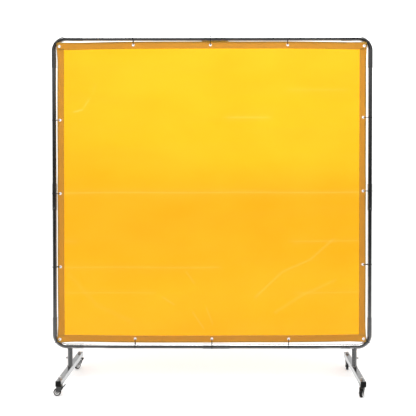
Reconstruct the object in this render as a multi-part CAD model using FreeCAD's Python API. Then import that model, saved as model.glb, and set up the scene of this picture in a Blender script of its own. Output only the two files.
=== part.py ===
"""Free-standing welding curtain screen: a tubular frame on two feet with four braked casters.

Units are millimetres. +Z is up, +X runs to the right along the screen, and -Y is the front.
The origin is on the floor, midway between the two feet.
"""

import FreeCAD, Part
import math
import os

# ---- driving dimensions -------------------------------------------------------------------

# tubular frame
OUTER_WIDTH = 1830.0
BOTTOM_RAIL_Z = 202.0
TOP_RAIL_Z = 1960.0
TUBE_OD = 25.0
TUBE_WALL = 1.2
FITTING_OD = 28.0
FITTING_WALL = 1.4
BEND_RADIUS = 70.0
ELBOW_LEG = 165.0
ELBOW_OVERLAP = 60.0
SLEEVE_LENGTH = 151.0
SIDE_SLEEVE_Z = 1058.0
TOP_SLEEVE_X = 17.0
BOTTOM_SLEEVE_X = 24.0
TUBE_GAP = 1.0
STUB_COPE_HALF_LENGTH = 50.0

# spring snap buttons that lock the sleeves
BUTTON_RADIUS = 3.2
BUTTON_FLANGE_RADIUS = 4.6
BUTTON_FLANGE = 1.0
BUTTON_PROUD = 3.0
BUTTON_INSET = 10.0
BUTTON_CLEARANCE = 0.1
BUTTON_DOME = 1.6
SPRING_THICKNESS = 0.6
SPRING_WIDTH = 8.0
SPRING_LENGTH = 36.0
SPRING_TIP = 4.8
SPRING_BEND_HEIGHT = 2.0
SPRING_BEND_DEPTH = 3.0
SPRING_BORE_GAP = 0.2

# feet
FOOT_X = 815.0
FOOT_LENGTH = 500.0
FOOT_SIZE = 30.0
FOOT_WALL = 1.5
FOOT_CORNER = 2.5
FOOT_INNER_CORNER = 1.2
FOOT_BOTTOM_Z = 60.0
CAP_FLANGE = 3.0
CAP_PLUG = 12.0
CAP_CHAMFER = 0.8
CAP_FIT = 0.1
BOLT_HOLE_CLEARANCE = 0.2
POST_TOP_Z = 186.0
STUB_BOTTOM_Z = 100.0
LOCK_BOLT_Z = 135.0
LOCK_BOLT_RADIUS = 3.0
LOCK_HEX_FLATS = 10.0
LOCK_NUT_HEIGHT = 5.0
LOCK_HEAD_HEIGHT = 4.0
WELD_NUT_SINK = 1.4
WELD_NUT_GAP = 0.1
LOCK_BOLT_TIP_GAP = 0.02
HEX_CHAMFER_SLOPE = 2.0

# casters
CASTER_INSET = 36.0
STEM_RADIUS = 5.0
STEM_TOP_Z = 103.0
STEM_HEAD_RADIUS = 8.0
STEM_HEAD_HEIGHT = 1.8
STEM_HEAD_GAP = 0.1
STEM_CHAMFER = 1.0
STEM_NUT_FLATS = 17.0
STEM_NUT_HEIGHT = 8.0
WASHER_RADIUS = 10.5
WASHER_HEIGHT = 1.6
RACE_RADIUS = 14.0
RACE_SKIRT_RADIUS = 15.0
RACE_SKIRT_BOTTOM_Z = 53.4
RACE_WALL = 1.6
RACE_FLOOR_Z = 57.0
RACE_SHOULDER_Z = 58.6
CROWN_BOTTOM_Z = 47.2
CROWN_TOP_Z = 50.2
CROWN_DISH_TOP_Z = 55.0
CROWN_DISH_RADIUS = 13.0
CROWN_DISH_WALL = 2.0
CROWN_DISH_ROOF = 1.6
CROWN_FRONT_X = 13.0
CROWN_REAR_X = -17.0
FORK_TOE_Z = 35.0
TRAIL = 14.0
WHEEL_RADIUS = 20.0
WHEEL_WIDTH = 15.0
TYRE_SHOULDER = 3.0
TYRE_SHOULDER_STEPS = 6
HUB_RADIUS = 13.5
HUB_RIM_INNER_RADIUS = 11.6
HUB_WEB_OUTER_RADIUS = 10.8
HUB_WEB_INNER_RADIUS = 6.2
HUB_WEB_RECESS = 3.0
HUB_BOSS_RADIUS = 5.6
HUB_BOSS_WIDTH = 17.2
AXLE_RADIUS = 3.0
AXLE_HEAD_RADIUS = 5.2
AXLE_HEAD_HEIGHT = 1.8
AXLE_HEAD_FILLET = 0.9
AXLE_NUT_FLATS = 9.0
AXLE_NUT_HEIGHT = 2.8
AXLE_END = 3.4
FORK_GAP = 18.4
FORK_PLATE = 2.0
FORK_BOSS_RADIUS = 6.6
PEDAL_PIVOT_X = 10.0
PEDAL_PIVOT_Z = 38.0
PEDAL_WIDTH = 17.6
PEDAL_TIP_X = 27.0
PEDAL_TIP_Z = 56.0
PEDAL_THICKNESS = 3.0
PEDAL_BARREL_RADIUS = 4.2
TREAD_START_SHARE = 0.45
TREAD_OVERHANG = 1.5
TREAD_SIDE_OVERHANG = 1.4
TREAD_RAISE = 1.0
TREAD_FILLET = 1.0
TRUNNION_RADIUS = 2.4
SHOE_RADIUS = 3.0
SHOE_INSET = 1.5
SHOE_REACH = 9.6
SHOE_REST_ANGLE = 249.0
RUNNING_CLEARANCE = 0.08
CASTER_TRAIL_DIRECTIONS = {
    "front_left": (-1.0, 0.0),
    "front_right": (-0.45, -0.89),
    "rear_left": (-0.57, -0.82),
    "rear_right": (-0.20, -0.98),
}

# curtain
CURTAIN_WIDTH = 1758.0
CURTAIN_CENTRE_X = -3.0
CURTAIN_BOTTOM_Z = 228.0
CURTAIN_TOP_Z = 1941.0
CURTAIN_THICKNESS = 0.5
HEM_WIDTH = 38.0
CORNER_CLEARANCE = 0.6
GROMMET_EDGE_X = 14.0
GROMMET_EDGE_Z = 16.5
GROMMET_CORNER_DROP = 5.0
COLUMN_SPACING = 440.0
ROW_SPACING = 420.0
TOP_COLUMN_X = -9.0
BOTTOM_COLUMN_X = -1.0
LEFT_ROW_Z = 1077.0
RIGHT_ROW_Z = 1093.0
GROMMET_HOLE_RADIUS = 4.0
GROMMET_BARREL_RADIUS = 4.6
GROMMET_FLANGE_RADIUS = 8.0
GROMMET_FLANGE = 1.0
GROMMET_LIP = 0.5
GROMMET_BEVEL_WIDTH = 1.6
GROMMET_BEVEL_HEIGHT = 0.75
TIE_WIDTH = 4.8
TIE_THICKNESS = 1.3
TIE_CLEARANCE = 0.15
TIE_EYE_RADIUS = 1.5
TIE_HEAD_LENGTH = 8.0
TIE_HEAD_WIDTH = 7.6
TIE_HEAD_HEIGHT = 5.0
TIE_TAIL_LENGTH = 6.0
TIE_TAIL_RISE = 1.8
TIE_TAIL_TAPER = 0.3
TIE_HEAD_CHAMFER = 0.8
TIE_HEAD_SINK = 0.78

# ---- derived dimensions -------------------------------------------------------------------

SIDE_X = (OUTER_WIDTH - FITTING_OD) / 2
TUBE_R = TUBE_OD / 2
TUBE_BORE_R = TUBE_R - TUBE_WALL
FITTING_R = FITTING_OD / 2
FITTING_BORE_R = FITTING_R - FITTING_WALL
ARC_X = SIDE_X - BEND_RADIUS
ARC_TOP_Z = TOP_RAIL_Z - BEND_RADIUS
ARC_BOTTOM_Z = BOTTOM_RAIL_Z + BEND_RADIUS
FOOT_TOP_Z = FOOT_BOTTOM_Z + FOOT_SIZE
FOOT_HALF = FOOT_SIZE / 2
CASTER_Y = FOOT_LENGTH / 2 - CASTER_INSET
FORK_OUTER = FORK_GAP / 2 + FORK_PLATE
HEM_HALF = CURTAIN_THICKNESS * 1.5
CURTAIN_LEFT_X = CURTAIN_CENTRE_X - CURTAIN_WIDTH / 2
CURTAIN_RIGHT_X = CURTAIN_CENTRE_X + CURTAIN_WIDTH / 2
PAST = 20.0
TOUCH = 0.01

X_AXIS = FreeCAD.Vector(1, 0, 0)
Y_AXIS = FreeCAD.Vector(0, 1, 0)
Z_AXIS = FreeCAD.Vector(0, 0, 1)


# ---- helpers ------------------------------------------------------------------------------

def vector(x, y, z):
    return FreeCAD.Vector(x, y, z)


def save(name, *solids):
    """Writes one sub-part, which is one solid or a group of separate solids."""
    shape = solids[0] if len(solids) == 1 else Part.makeCompound(list(solids))
    shape.exportStep("parts/" + name + ".step")


def box(low, high):
    """A block from its lowest to its highest corner."""
    size = [b - a for a, b in zip(low, high)]
    return Part.makeBox(size[0], size[1], size[2], vector(*low))


def rod(radius, start, end):
    """A cylinder between two points."""
    along = end - start
    return Part.makeCylinder(radius, along.Length, start, along)


def pipe(outer, inner, start, end):
    """A round tube between two points."""
    return rod(outer, start, end).cut(rod(inner, start, end))


def hexagon(flats, height, base, axis):
    """A hexagonal prism with its corners chamfered on the outer end, standing on base along axis."""
    corner = flats / math.sqrt(3)
    points = [vector(corner * math.cos(math.radians(60 * k)), corner * math.sin(math.radians(60 * k)), 0)
              for k in range(7)]
    prism = Part.Face(Part.makePolygon(points)).extrude(vector(0, 0, height))
    tip = (flats / 2 + corner) / 2
    prism = prism.common(Part.makeCone(tip + HEX_CHAMFER_SLOPE * height, tip, height))
    prism.Placement = FreeCAD.Placement(base, FreeCAD.Rotation(Z_AXIS, axis))
    return prism


def outline_solid(points, thickness, start_y):
    """A plate cut to a closed outline of (x, z) points, from start_y along +Y."""
    wire = Part.makePolygon([vector(x, start_y, z) for x, z in points + points[:1]])
    return Part.Face(wire).extrude(vector(0, thickness, 0))


def revolve_profile(points, axis):
    """A full revolution about axis through the origin of a closed outline given as 3-D points."""
    return Part.Face(Part.makePolygon(points + points[:1])).revolve(vector(0, 0, 0), axis, 360)


def tangent_points(centre, radius, point):
    """The two places where lines from an outside point touch a circle, in (x, z)."""
    dx, dz = point[0] - centre[0], point[1] - centre[1]
    toward = math.atan2(dz, dx)
    half = math.acos(radius / math.hypot(dx, dz))
    return [(centre[0] + radius * math.cos(a), centre[1] + radius * math.sin(a))
            for a in (toward + half, toward - half)]


# ---- tubular frame ------------------------------------------------------------------------

CORNERS = {
    "top_left": (-1, 1),
    "top_right": (1, 1),
    "bottom_left": (-1, -1),
    "bottom_right": (1, -1),
}


def corner_point(sx, sz):
    """Where the centrelines of a side tube and a rail would cross."""
    return vector(sx * SIDE_X, 0, TOP_RAIL_Z if sz > 0 else BOTTOM_RAIL_Z)


def arc_centre(sx, sz):
    return vector(sx * ARC_X, 0, ARC_TOP_Z if sz > 0 else ARC_BOTTOM_Z)


def elbow(sx, sz):
    """A quarter bend with two straight legs, hollow right through."""
    corner = corner_point(sx, sz)
    centre = arc_centre(sx, sz)
    rail_tangent = corner - X_AXIS * (sx * BEND_RADIUS)
    rail_end = corner - X_AXIS * (sx * ELBOW_LEG)
    side_tangent = corner - Z_AXIS * (sz * BEND_RADIUS)
    side_end = corner - Z_AXIS * (sz * ELBOW_LEG)
    ring = Part.Face([Part.Wire(Part.makeCircle(FITTING_R, rail_tangent, X_AXIS)),
                      Part.Wire(Part.makeCircle(FITTING_BORE_R, rail_tangent, X_AXIS))])
    bend = ring.revolve(centre, Y_AXIS * (sx * sz), 90)
    legs = [pipe(FITTING_R, FITTING_BORE_R, rail_tangent, rail_end),
            pipe(FITTING_R, FITTING_BORE_R, side_tangent, side_end)]
    return bend.fuse(legs).removeSplitter()


def tube(start, end):
    return pipe(TUBE_R, TUBE_BORE_R, start, end)


def sleeve_joint(centre, along, facing):
    """A sleeve, its snap button and the button's leaf spring. Returns also the cutter for the holes.

    along points to the sleeve's buttoned end, facing is the way the button looks.
    """
    end = centre + along * (SLEEVE_LENGTH / 2)
    seat = end - along * BUTTON_INSET
    shell = pipe(FITTING_R, FITTING_BORE_R, centre - along * (SLEEVE_LENGTH / 2), end)
    hole = rod(BUTTON_RADIUS + BUTTON_CLEARANCE, seat, seat + facing * PAST)
    flange_r = math.sqrt((TUBE_BORE_R - BUTTON_CLEARANCE) ** 2 - BUTTON_FLANGE_RADIUS ** 2)
    dome_r = FITTING_R + BUTTON_PROUD
    flange = rod(BUTTON_FLANGE_RADIUS, seat + facing * (flange_r - BUTTON_FLANGE), seat + facing * flange_r)
    pin = rod(BUTTON_RADIUS, seat + facing * (flange_r - BUTTON_FLANGE), seat + facing * dome_r)
    pin = pin.makeFillet(BUTTON_DOME, [e for e in pin.Edges if is_end_circle(e, seat + facing * dome_r)])
    button = pin.fuse(flange).removeSplitter()
    spring = leaf_spring(seat, along, facing, flange_r - BUTTON_FLANGE)
    return shell.cut(hole), button, spring, hole


def is_end_circle(edge, point):
    """True for the round edge whose centre is at the given point."""
    return hasattr(edge.Curve, "Center") and (edge.Curve.Center - point).Length < TOUCH


def leaf_spring(seat, along, facing, button_base):
    """A V of spring steel inside the tube: one arm under the button, one along the far wall."""
    far = -math.sqrt((TUBE_BORE_R - SPRING_BORE_GAP) ** 2 - (SPRING_WIDTH / 2) ** 2)
    across = along.cross(facing)
    outer = [(SPRING_TIP, button_base), (-BUTTON_FLANGE_RADIUS, button_base),
             (-SPRING_LENGTH, far + SPRING_BEND_HEIGHT), (-SPRING_LENGTH, far), (SPRING_TIP, far)]
    inner = [(SPRING_TIP, far + SPRING_THICKNESS),
             (SPRING_BEND_DEPTH - SPRING_LENGTH, far + SPRING_THICKNESS),
             (-BUTTON_FLANGE_RADIUS, button_base - SPRING_THICKNESS),
             (SPRING_TIP, button_base - SPRING_THICKNESS)]
    start = seat - across * (SPRING_WIDTH / 2)
    points = [start + along * s + facing * r for s, r in outer + inner + outer[:1]]
    return Part.Face(Part.makePolygon(points)).extrude(across * SPRING_WIDTH)


def make_frame():
    """Elbows, straight tubes, sleeves, snap buttons and the two welded stubs."""
    for name, (sx, sz) in CORNERS.items():
        save("elbow_" + name, elbow(sx, sz))

    reach = ELBOW_LEG - ELBOW_OVERLAP
    half_gap = TUBE_GAP / 2
    joints = {
        "left": (vector(-SIDE_X, 0, SIDE_SLEEVE_Z), -Z_AXIS, -Y_AXIS),
        "right": (vector(SIDE_X, 0, SIDE_SLEEVE_Z), -Z_AXIS, -Y_AXIS),
        "top": (vector(TOP_SLEEVE_X, 0, TOP_RAIL_Z), X_AXIS, Y_AXIS),
        "bottom": (vector(BOTTOM_SLEEVE_X, 0, BOTTOM_RAIL_Z), X_AXIS, Y_AXIS),
    }
    tube_names = {
        "left": ("side_tube_left_lower", "side_tube_left_upper"),
        "right": ("side_tube_right_lower", "side_tube_right_upper"),
        "top": ("top_rail_right", "top_rail_left"),
        "bottom": ("bottom_rail_right", "bottom_rail_left"),
    }
    springs = []
    for name, (centre, along, facing) in joints.items():
        shell, button, spring, hole = sleeve_joint(centre, along, facing)
        save("sleeve_" + name, shell)
        save("snap_button_" + name, button)
        springs.append(spring)
        if name in ("left", "right"):
            buttoned_end = vector(centre.x, 0, BOTTOM_RAIL_Z + reach)
            plain_end = vector(centre.x, 0, TOP_RAIL_Z - reach)
        else:
            buttoned_end = vector(SIDE_X - reach, 0, centre.z)
            plain_end = vector(-SIDE_X + reach, 0, centre.z)
        buttoned_name, plain_name = tube_names[name]
        save(buttoned_name, tube(centre + along * half_gap, buttoned_end).cut(hole))
        save(plain_name, tube(plain_end, centre - along * half_gap))
    save("button_springs", *springs)


def make_stubs():
    """The short tubes welded under the bottom elbows, coped to the elbow's round."""
    for side, sx in (("left", -1), ("right", 1)):
        foot = vector(sx * FOOT_X, 0, STUB_BOTTOM_Z)
        head = vector(sx * FOOT_X, 0, BOTTOM_RAIL_Z)
        cope = X_AXIS * STUB_COPE_HALF_LENGTH
        elbow_round = rod(FITTING_R, head - cope, head + cope)
        save("elbow_stub_" + side, tube(foot, head).cut(elbow_round))


# ---- feet ---------------------------------------------------------------------------------

def make_feet():
    """Feet, posts, end caps, lock bolts and their weld nuts."""
    bolts = []
    nuts = []
    caps = []
    tube_half = FOOT_LENGTH / 2 - CAP_FLANGE
    for side, sx in (("left", -1), ("right", 1)):
        x = sx * FOOT_X
        outside = box((x - FOOT_HALF, -tube_half, FOOT_BOTTOM_Z), (x + FOOT_HALF, tube_half, FOOT_TOP_Z))
        long_edges = [e for e in outside.Edges if e.Length > FOOT_LENGTH / 2]
        outside = outside.makeFillet(FOOT_CORNER, long_edges)
        wall = FOOT_WALL
        inside = box((x - FOOT_HALF + wall, -tube_half, FOOT_BOTTOM_Z + wall),
                     (x + FOOT_HALF - wall, tube_half, FOOT_TOP_Z - wall))
        long_edges = [e for e in inside.Edges if e.Length > FOOT_LENGTH / 2]
        inside = inside.makeFillet(FOOT_INNER_CORNER, long_edges)
        foot = outside.cut(inside)
        for sy in (-1, 1):
            below = vector(x, sy * CASTER_Y, FOOT_BOTTOM_Z - PAST)
            above = vector(x, sy * CASTER_Y, FOOT_TOP_Z + PAST)
            foot = foot.cut(rod(STEM_RADIUS + BOLT_HOLE_CLEARANCE, below, above))
            caps.append(end_cap(x, sy, tube_half))
        save("foot_" + side, foot)

        post = pipe(FITTING_R, FITTING_BORE_R, vector(x, 0, FOOT_TOP_Z), vector(x, 0, POST_TOP_Z))
        outward = X_AXIS * sx
        tip = vector(x, 0, LOCK_BOLT_Z) + outward * TUBE_R
        face = vector(x, 0, LOCK_BOLT_Z) + outward * (FITTING_R + WELD_NUT_GAP)
        far = tip + outward * PAST
        bolt_hole = rod(LOCK_BOLT_RADIUS + BOLT_HOLE_CLEARANCE, vector(x, 0, LOCK_BOLT_Z), far)
        save("post_" + side, post.cut(bolt_hole))

        nut_base = face - outward * WELD_NUT_SINK
        pad = hexagon(LOCK_HEX_FLATS, LOCK_NUT_HEIGHT + WELD_NUT_SINK, nut_base, outward)
        round_post = rod(FITTING_R, vector(x, 0, FOOT_TOP_Z), vector(x, 0, POST_TOP_Z))
        nuts.append(pad.cut(round_post).cut(rod(LOCK_BOLT_RADIUS, tip, far)))
        head_seat = face + outward * LOCK_NUT_HEIGHT
        shank = rod(LOCK_BOLT_RADIUS, tip + outward * LOCK_BOLT_TIP_GAP, head_seat + outward)
        head = hexagon(LOCK_HEX_FLATS, LOCK_HEAD_HEIGHT, head_seat, outward)
        bolts.append(shank.fuse(head).removeSplitter())
    save("foot_end_caps", *caps)
    save("post_weld_nuts", *nuts)
    save("post_lock_bolts", *bolts)


def end_cap(x, sy, tube_half):
    """A plastic plug with a flange as large as the foot tube."""
    inner_y = sy * tube_half
    outer_y = sy * (tube_half + CAP_FLANGE)
    low, high = sorted((inner_y, outer_y))
    flange = box((x - FOOT_HALF, low, FOOT_BOTTOM_Z), (x + FOOT_HALF, high, FOOT_TOP_Z))
    flange = flange.makeFillet(FOOT_CORNER, [e for e in flange.Edges if abs(e.Length - CAP_FLANGE) < TOUCH])
    rim = [e for e in flange.Edges if all(abs(v.Y - outer_y) < TOUCH for v in e.Vertexes)]
    flange = flange.makeChamfer(CAP_CHAMFER, rim)
    fit = FOOT_HALF - FOOT_WALL - CAP_FIT
    middle_z = (FOOT_BOTTOM_Z + FOOT_TOP_Z) / 2
    low, high = sorted((inner_y, inner_y - sy * CAP_PLUG))
    plug = box((x - fit, low, middle_z - fit), (x + fit, high, middle_z + fit))
    plug = plug.makeFillet(FOOT_INNER_CORNER, [e for e in plug.Edges if abs(e.Length - CAP_PLUG) < TOUCH])
    return flange.fuse(plug).removeSplitter()


# ---- casters ------------------------------------------------------------------------------

def caster_placement(sx, sy, trail):
    """From the caster's own frame, with its wheel trailing along -X, to where it stands."""
    turn = math.degrees(math.atan2(-trail[1], -trail[0]))
    return FreeCAD.Placement(vector(sx * FOOT_X, sy * CASTER_Y, 0), FreeCAD.Rotation(Z_AXIS, turn))


def placed(shape, placement):
    moved = shape.copy()
    moved.Placement = placement.multiply(moved.Placement)
    return moved


def fork():
    """Pressed steel fork: a dished crown and two side plates that carry the axle and the pedal."""
    axle = (-TRAIL, WHEEL_RADIUS)
    toe = (CROWN_FRONT_X, FORK_TOE_Z)
    heel = (CROWN_REAR_X, CROWN_TOP_Z)
    low_touch = min(tangent_points(axle, FORK_BOSS_RADIUS, toe), key=lambda p: p[1])
    rear_touch = min(tangent_points(axle, FORK_BOSS_RADIUS, heel), key=lambda p: p[0])
    plate_outline = [heel, (CROWN_FRONT_X, CROWN_TOP_Z), toe, low_touch, rear_touch]
    crown = box((CROWN_REAR_X, -FORK_OUTER, CROWN_BOTTOM_Z), (CROWN_FRONT_X, FORK_OUTER, CROWN_TOP_Z))
    dish = rod(CROWN_DISH_RADIUS, vector(0, 0, CROWN_BOTTOM_Z + 1), vector(0, 0, CROWN_DISH_TOP_Z))
    dish_hollow = rod(CROWN_DISH_RADIUS - CROWN_DISH_WALL, vector(0, 0, CROWN_TOP_Z),
                      vector(0, 0, CROWN_DISH_TOP_Z - CROWN_DISH_ROOF))
    body = crown.fuse(dish)
    for sy in (-1, 1):
        start = FORK_GAP / 2 if sy > 0 else -FORK_OUTER
        plate = outline_solid(plate_outline, FORK_PLATE, start)
        boss = rod(FORK_BOSS_RADIUS, vector(axle[0], start, axle[1]),
                   vector(axle[0], start + FORK_PLATE, axle[1]))
        body = body.fuse(plate).fuse(boss)
    body = body.removeSplitter().cut(dish_hollow)
    stem_hole = rod(STEM_RADIUS + RUNNING_CLEARANCE, vector(0, 0, FORK_TOE_Z), vector(0, 0, FOOT_BOTTOM_Z))
    axle_hole = rod(AXLE_RADIUS, vector(axle[0], -PAST, axle[1]), vector(axle[0], PAST, axle[1]))
    pivot = vector(PEDAL_PIVOT_X, 0, PEDAL_PIVOT_Z)
    pivot_hole = rod(TRUNNION_RADIUS + RUNNING_CLEARANCE, pivot - Y_AXIS * PAST, pivot + Y_AXIS * PAST)
    return body.cut(stem_hole).cut(axle_hole).cut(pivot_hole)


def axle_bolt():
    """The axle, with a low round head at one end, and the thin nut at the other."""
    centre = vector(-TRAIL, 0, WHEEL_RADIUS)
    head_outer = centre - Y_AXIS * (FORK_OUTER + AXLE_HEAD_HEIGHT)
    head_inner = centre - Y_AXIS * FORK_OUTER
    nut_base = centre + Y_AXIS * FORK_OUTER
    head = rod(AXLE_HEAD_RADIUS, head_outer, head_inner)
    head = head.makeFillet(AXLE_HEAD_FILLET, [e for e in head.Edges if is_end_circle(e, head_outer)])
    shank = rod(AXLE_RADIUS, (head_outer + head_inner) / 2, nut_base + Y_AXIS * AXLE_END)
    nut = hexagon(AXLE_NUT_FLATS, AXLE_NUT_HEIGHT, nut_base, Y_AXIS)
    return head.fuse(shank).removeSplitter(), nut.cut(rod(AXLE_RADIUS, centre, nut_base + Y_AXIS * PAST))


def tyre():
    """The soft tread ring, with rounded shoulders."""
    half = WHEEL_WIDTH / 2
    quarter = [math.pi / 2 * step / TYRE_SHOULDER_STEPS for step in range(TYRE_SHOULDER_STEPS + 1)]
    points = []
    for side, angles in ((-1, quarter), (1, quarter[::-1])):
        for angle in angles:
            reach = WHEEL_RADIUS + TYRE_SHOULDER * (math.sin(angle) - 1)
            points.append(vector(reach, side * (half + TYRE_SHOULDER * (math.cos(angle) - 1)), 0))
    points += [vector(HUB_RADIUS, half, 0), vector(HUB_RADIUS, -half, 0)]
    ring = revolve_profile(points, Y_AXIS)
    ring.translate(vector(-TRAIL, 0, WHEEL_RADIUS))
    return ring


def hub():
    """The wheel's core: a rim, a thinner web and a boss with the axle's bore."""
    half = WHEEL_WIDTH / 2
    web = half - HUB_WEB_RECESS
    boss = HUB_BOSS_WIDTH / 2
    bore = AXLE_RADIUS + RUNNING_CLEARANCE
    side = [(bore, boss), (HUB_BOSS_RADIUS, boss), (HUB_WEB_INNER_RADIUS, web), (HUB_WEB_OUTER_RADIUS, web),
            (HUB_RIM_INNER_RADIUS, half), (HUB_RADIUS, half)]
    outline = [(r, -y) for r, y in side] + side[::-1]
    core = revolve_profile([vector(r, y, 0) for r, y in outline], Y_AXIS)
    core.translate(vector(-TRAIL, 0, WHEEL_RADIUS))
    return core


def pedal():
    """The brake pedal: a tread plate, an arm, a cam shoe that meets the tyre, and two trunnions."""
    half = PEDAL_WIDTH / 2
    pivot = vector(PEDAL_PIVOT_X, 0, PEDAL_PIVOT_Z)
    run = vector(PEDAL_TIP_X, 0, PEDAL_TIP_Z) - pivot
    length = run.Length
    along = run / length
    above = vector(-along.z, 0, along.x)
    barrel = rod(PEDAL_BARREL_RADIUS, pivot - Y_AXIS * half, pivot + Y_AXIS * half)
    arm_points = [pivot - above * PEDAL_THICKNESS / 2, pivot + run - above * PEDAL_THICKNESS / 2,
                  pivot + run + above * PEDAL_THICKNESS / 2, pivot + above * PEDAL_THICKNESS / 2]
    arm = Part.Face(Part.makePolygon([p - Y_AXIS * half for p in arm_points + arm_points[:1]]))
    arm = arm.extrude(Y_AXIS * PEDAL_WIDTH)
    tread_start = pivot + along * (length * TREAD_START_SHARE) - above * PEDAL_THICKNESS / 2
    tread_end = pivot + along * (length + TREAD_OVERHANG) - above * PEDAL_THICKNESS / 2
    lip = above * (PEDAL_THICKNESS + TREAD_RAISE)
    tread_points = [tread_start, tread_end, tread_end + lip, tread_start + lip]
    tread_half = half + TREAD_SIDE_OVERHANG
    tread = Part.Face(Part.makePolygon([p - Y_AXIS * tread_half for p in tread_points + tread_points[:1]]))
    tread = tread.extrude(Y_AXIS * (2 * tread_half))
    cross_edges = [e for e in tread.Edges if abs(e.Length - 2 * tread_half) < TOUCH]
    tread = tread.makeFillet(TREAD_FILLET, cross_edges)
    angle = math.radians(SHOE_REST_ANGLE)
    toward = vector(math.cos(angle), 0, math.sin(angle))
    shoe_centre = pivot + toward * (SHOE_REACH - SHOE_RADIUS)
    shoe_half = half - SHOE_INSET
    shoe = rod(SHOE_RADIUS, shoe_centre - Y_AXIS * shoe_half, shoe_centre + Y_AXIS * shoe_half)
    side = toward.cross(Y_AXIS) * SHOE_RADIUS
    web_points = [pivot - side, shoe_centre - side, shoe_centre + side, pivot + side]
    web = Part.Face(Part.makePolygon([p - Y_AXIS * shoe_half for p in web_points + web_points[:1]]))
    web = web.extrude(Y_AXIS * (2 * shoe_half))
    trunnions = rod(TRUNNION_RADIUS, pivot - Y_AXIS * FORK_OUTER, pivot + Y_AXIS * FORK_OUTER)
    return barrel.fuse([arm, tread, shoe, web, trunnions]).removeSplitter()


def fixed_caster_parts():
    """The stem with its swaged head, the upper race, the washer and the nut, on the stem's axis."""
    head_top = CROWN_BOTTOM_Z - STEM_HEAD_GAP
    tip = Z_AXIS * STEM_TOP_Z
    stem = rod(STEM_RADIUS, Z_AXIS * head_top, tip)
    stem = stem.makeChamfer(STEM_CHAMFER, [e for e in stem.Edges if is_end_circle(e, tip)])
    stem = stem.fuse(rod(STEM_HEAD_RADIUS, Z_AXIS * (head_top - STEM_HEAD_HEIGHT), Z_AXIS * head_top))
    skirt_inner = RACE_SKIRT_RADIUS - RACE_WALL
    race_outline = [(STEM_RADIUS, RACE_FLOOR_Z), (STEM_RADIUS, FOOT_BOTTOM_Z), (RACE_RADIUS, FOOT_BOTTOM_Z),
                    (RACE_SKIRT_RADIUS, RACE_SHOULDER_Z), (RACE_SKIRT_RADIUS, RACE_SKIRT_BOTTOM_Z),
                    (skirt_inner, RACE_SKIRT_BOTTOM_Z), (skirt_inner, RACE_FLOOR_Z)]
    race = revolve_profile([vector(r, 0, z) for r, z in race_outline], Z_AXIS)
    washer = pipe(WASHER_RADIUS, STEM_RADIUS, vector(0, 0, FOOT_TOP_Z),
                  vector(0, 0, FOOT_TOP_Z + WASHER_HEIGHT))
    nut = hexagon(STEM_NUT_FLATS, STEM_NUT_HEIGHT, vector(0, 0, FOOT_TOP_Z + WASHER_HEIGHT), Z_AXIS)
    nut = nut.cut(rod(STEM_RADIUS, vector(0, 0, FOOT_TOP_Z), vector(0, 0, STEM_TOP_Z + PAST)))
    return {"caster_stems": stem.removeSplitter(), "caster_races": race, "caster_washers": washer,
            "caster_nuts": nut}


def make_casters():
    bolt, nut = axle_bolt()
    moving = {"fork": [fork()], "axle": [bolt, nut], "tyre": [tyre()], "hub": [hub()],
              "brake_pedal": [pedal()]}
    fixed = {name: [] for name in fixed_caster_parts()}
    for place, trail in CASTER_TRAIL_DIRECTIONS.items():
        sy = -1 if place.startswith("front") else 1
        sx = -1 if place.endswith("left") else 1
        placement = caster_placement(sx, sy, trail)
        for name, shape in fixed_caster_parts().items():
            fixed[name].append(placed(shape, placement))
        for name, shapes in moving.items():
            save(name + "_" + place, *[placed(s, placement) for s in shapes])
    for name, shapes in fixed.items():
        save(name, *shapes)


# ---- curtain ------------------------------------------------------------------------------

def grommet_places():
    """(centre, direction towards the tube that holds it, radius of that tube's fitting) for all 16."""
    left_x = CURTAIN_LEFT_X + GROMMET_EDGE_X
    right_x = CURTAIN_RIGHT_X - GROMMET_EDGE_X
    top_z = CURTAIN_TOP_Z - GROMMET_EDGE_Z
    bottom_z = CURTAIN_BOTTOM_Z + GROMMET_EDGE_Z
    places = []
    for step in (-1, 0, 1):
        rail_radius = FITTING_R if step == 0 else TUBE_R
        places.append((vector(TOP_COLUMN_X + step * COLUMN_SPACING, 0, top_z), Z_AXIS, rail_radius))
        places.append((vector(BOTTOM_COLUMN_X + step * COLUMN_SPACING, 0, bottom_z), -Z_AXIS, rail_radius))
        places.append((vector(left_x, 0, LEFT_ROW_Z + step * ROW_SPACING), -X_AXIS, rail_radius))
        places.append((vector(right_x, 0, RIGHT_ROW_Z + step * ROW_SPACING), X_AXIS, rail_radius))
    for sx, sz in CORNERS.values():
        x = left_x if sx < 0 else right_x
        z = top_z - GROMMET_CORNER_DROP if sz > 0 else bottom_z
        outward = vector(x, 0, z) - arc_centre(sx, sz)
        places.append((vector(x, 0, z), outward / outward.Length, FITTING_R))
    return places


def tube_distance(centre, outward):
    """From a grommet's centre to the centreline of the tube that holds it."""
    if abs(outward.x) > TOUCH and abs(outward.z) > TOUCH:
        arc = arc_centre(1 if outward.x > 0 else -1, 1 if outward.z > 0 else -1)
        return BEND_RADIUS - (centre - arc).Length
    if abs(outward.x) > TOUCH:
        return SIDE_X - abs(centre.x)
    return abs((TOP_RAIL_Z if outward.z > 0 else BOTTOM_RAIL_Z) - centre.z)


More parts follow.
